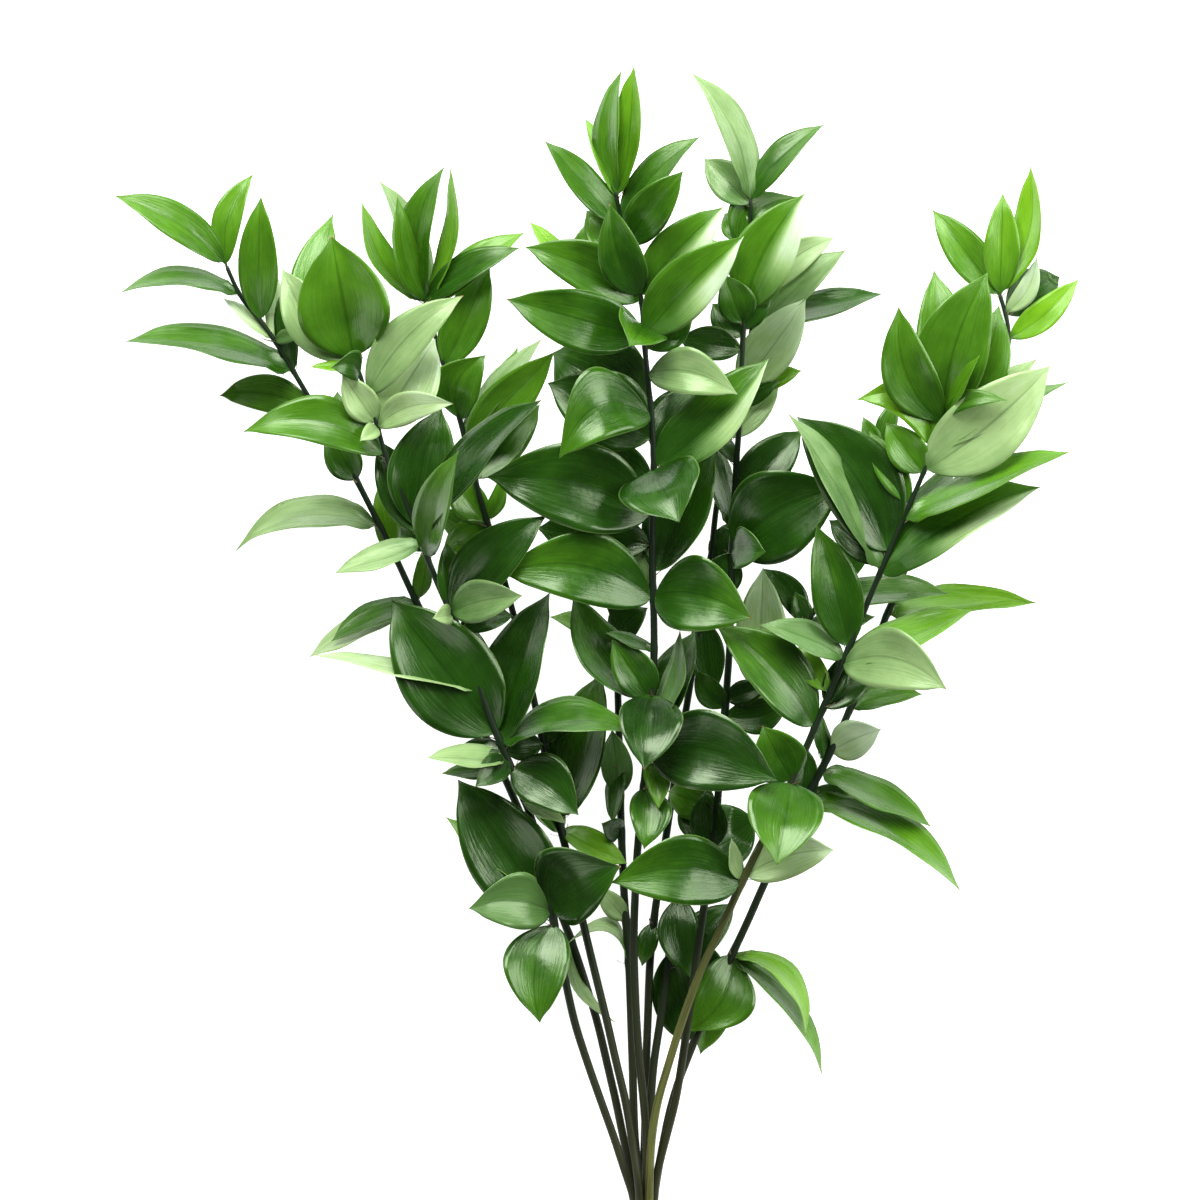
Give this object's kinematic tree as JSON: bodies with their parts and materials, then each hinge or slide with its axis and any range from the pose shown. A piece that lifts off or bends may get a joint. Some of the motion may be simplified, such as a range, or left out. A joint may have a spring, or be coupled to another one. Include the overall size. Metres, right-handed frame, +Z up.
{
  "type": "bunch of ruscus stems",
  "caption": "Tied bunch of cut leafy ruscus stems that fan out, with glossy pointed green leaves, lying on its back",
  "frame": {"origin": "on the surface the bunch lies on, at the flat underside of the tie round the stems", "axes": "+Y runs from the tie towards the leaf tips, +X to the right as seen from above, +Z up from the surface"},
  "size_m": [0.4831, 0.6671, 0.1174],
  "materials": {
    "foliage": "fresh waxy green leaf, semi-gloss",
    "tie": "matt raffia fibre"
  },
  "bodies": {
    "root": {"stem_front_centre": "foliage", "stem_front_left": "foliage", "stem_front_right": "foliage", "stem_centre_right": "foliage", "stem_mid_left": "foliage", "stem_mid_right": "foliage", "stem_rear_centre": "foliage", "stem_rear_right": "foliage", "stem_far_left": "foliage", "stem_far_right": "foliage", "tie": "tie"}
  },
  "joints": []
}
